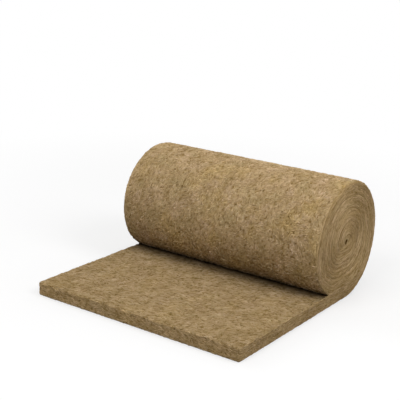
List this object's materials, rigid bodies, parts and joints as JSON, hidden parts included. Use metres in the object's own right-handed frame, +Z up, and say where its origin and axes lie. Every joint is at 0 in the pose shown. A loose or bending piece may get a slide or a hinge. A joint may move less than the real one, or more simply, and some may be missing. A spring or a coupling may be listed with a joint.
{
  "type": "insulation roll",
  "caption": "Stone-wool insulation mat wound into a roll that lies on its side, with its free end rolled out flat on the floor in front of it.",
  "frame": {"origin": "on the floor, in the middle of the whole object's footprint", "axes": "+X along the roll's axis, -Y towards the free end of the unrolled tail, +Z up"},
  "size_m": [1, 1.058, 0.522],
  "materials": {
    "stone_wool": "matte, fibrous"
  },
  "bodies": {
    "root": {"wool_mat": "stone_wool"}
  },
  "joints": []
}
